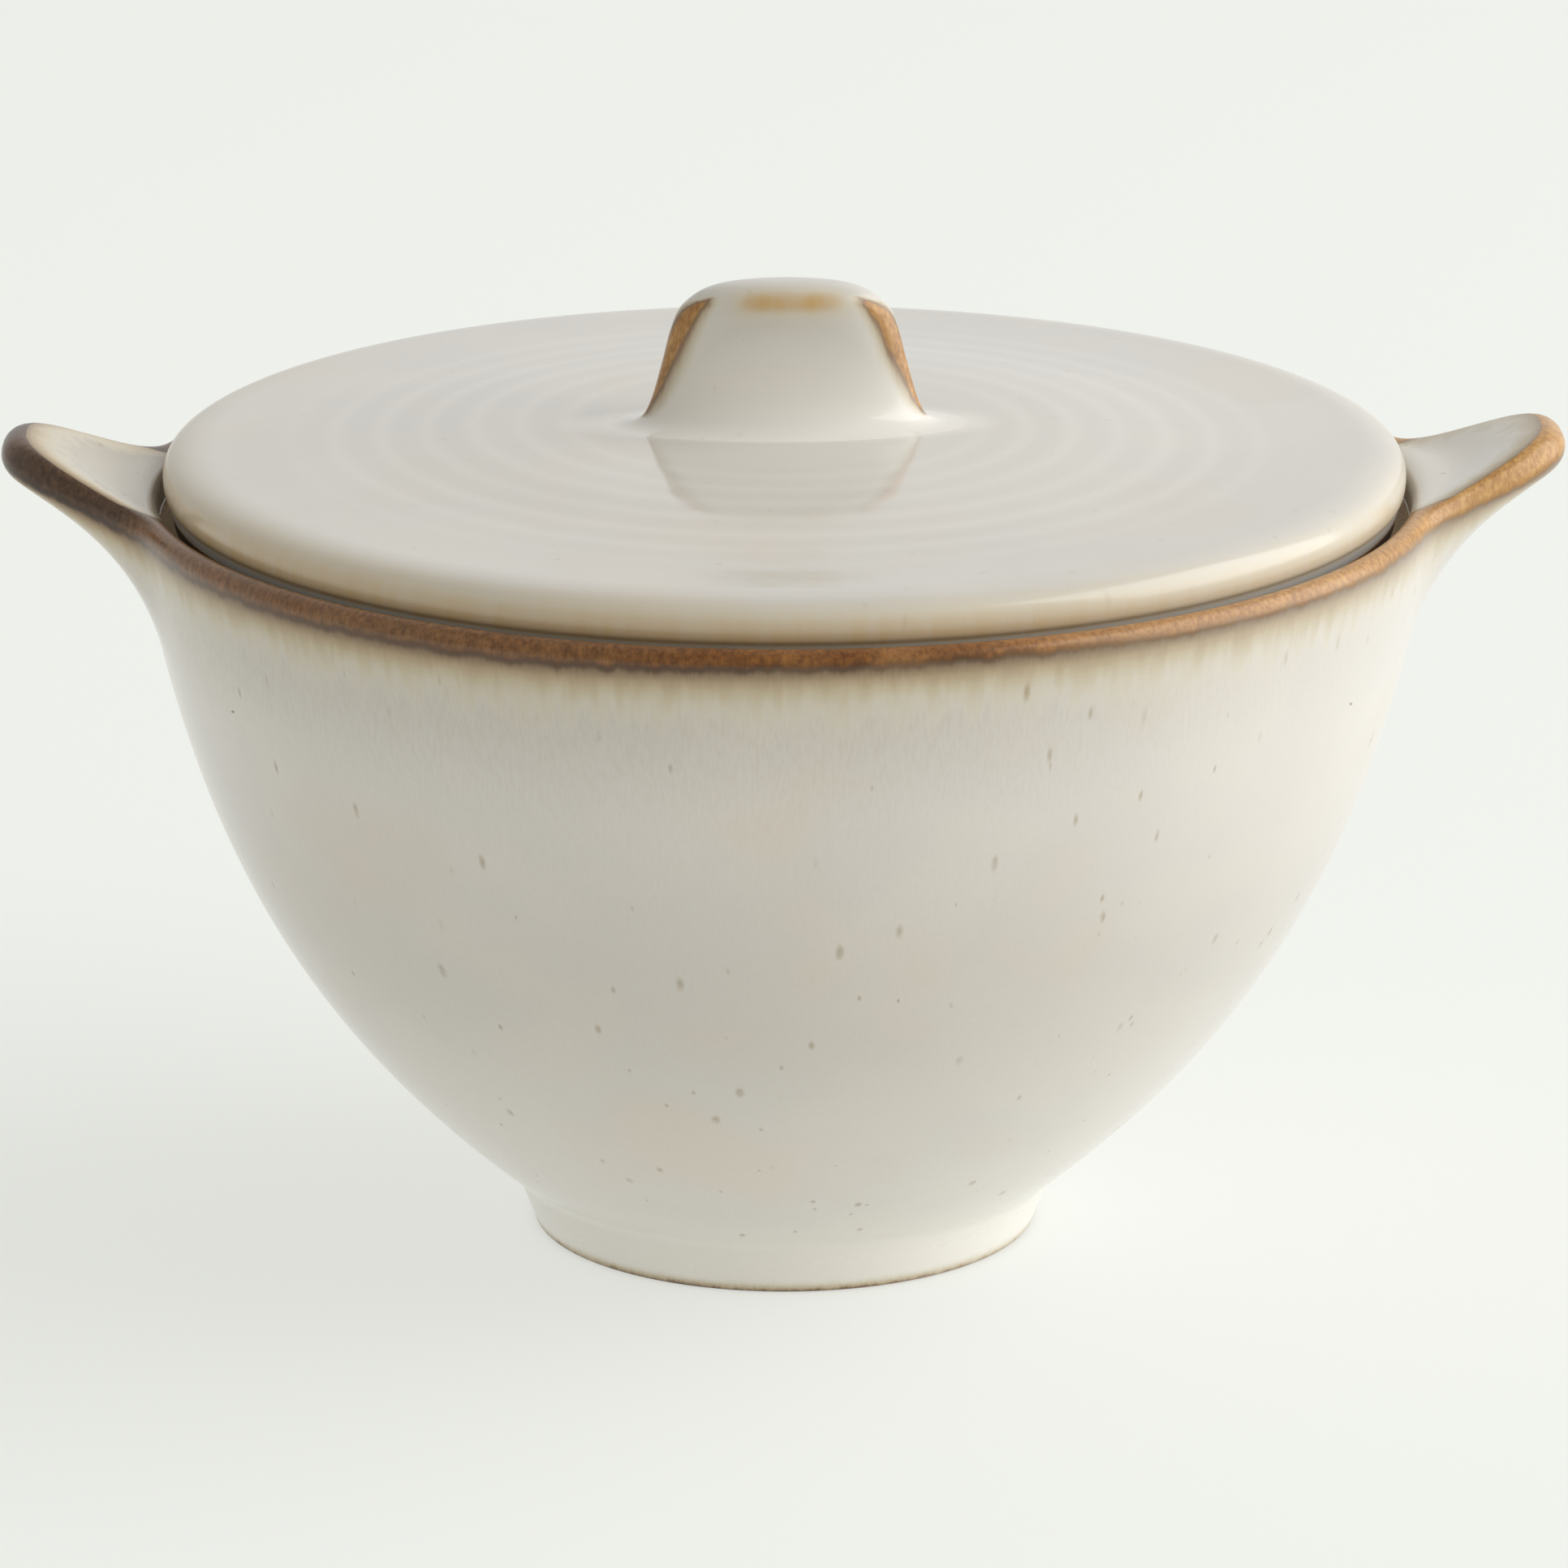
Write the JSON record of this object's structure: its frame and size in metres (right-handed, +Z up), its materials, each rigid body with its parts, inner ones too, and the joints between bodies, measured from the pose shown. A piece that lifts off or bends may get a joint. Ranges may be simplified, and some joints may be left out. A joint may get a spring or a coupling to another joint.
{
  "type": "covered casserole dish",
  "caption": "Deep round stoneware bowl on a foot ring with ear handles and a lift-off flat lid with a pinch tab knob, for baking and serving.",
  "frame": {"origin": "centre of the bowl's axis on the table plane under the foot ring", "axes": "+Z up along the bowl's axis, +X towards the right ear handle, the front is -Y"},
  "size_m": [0.2074, 0.1732, 0.1295],
  "materials": {
    "bowl_glaze": "gloss",
    "foot_glaze": "gloss",
    "ear_glaze": "gloss",
    "lid_glaze": "gloss",
    "flange_clay": "satin",
    "knob_glaze": "gloss"
  },
  "bodies": {
    "bowl": {"bowl_body": "bowl_glaze", "foot_ring": "foot_glaze", "ear_handle_left": "ear_glaze", "ear_handle_right": "ear_glaze"},
    "lid": {"lid_plate": "lid_glaze", "lid_locating_flange": "flange_clay", "lid_knob": "knob_glaze"}
  },
  "joints": [
    {"name": "lid_lift", "type": "slide", "parent": "bowl", "child": "lid", "axis": [0, 0, 1], "range_m": [0, 0.08]}
  ]
}
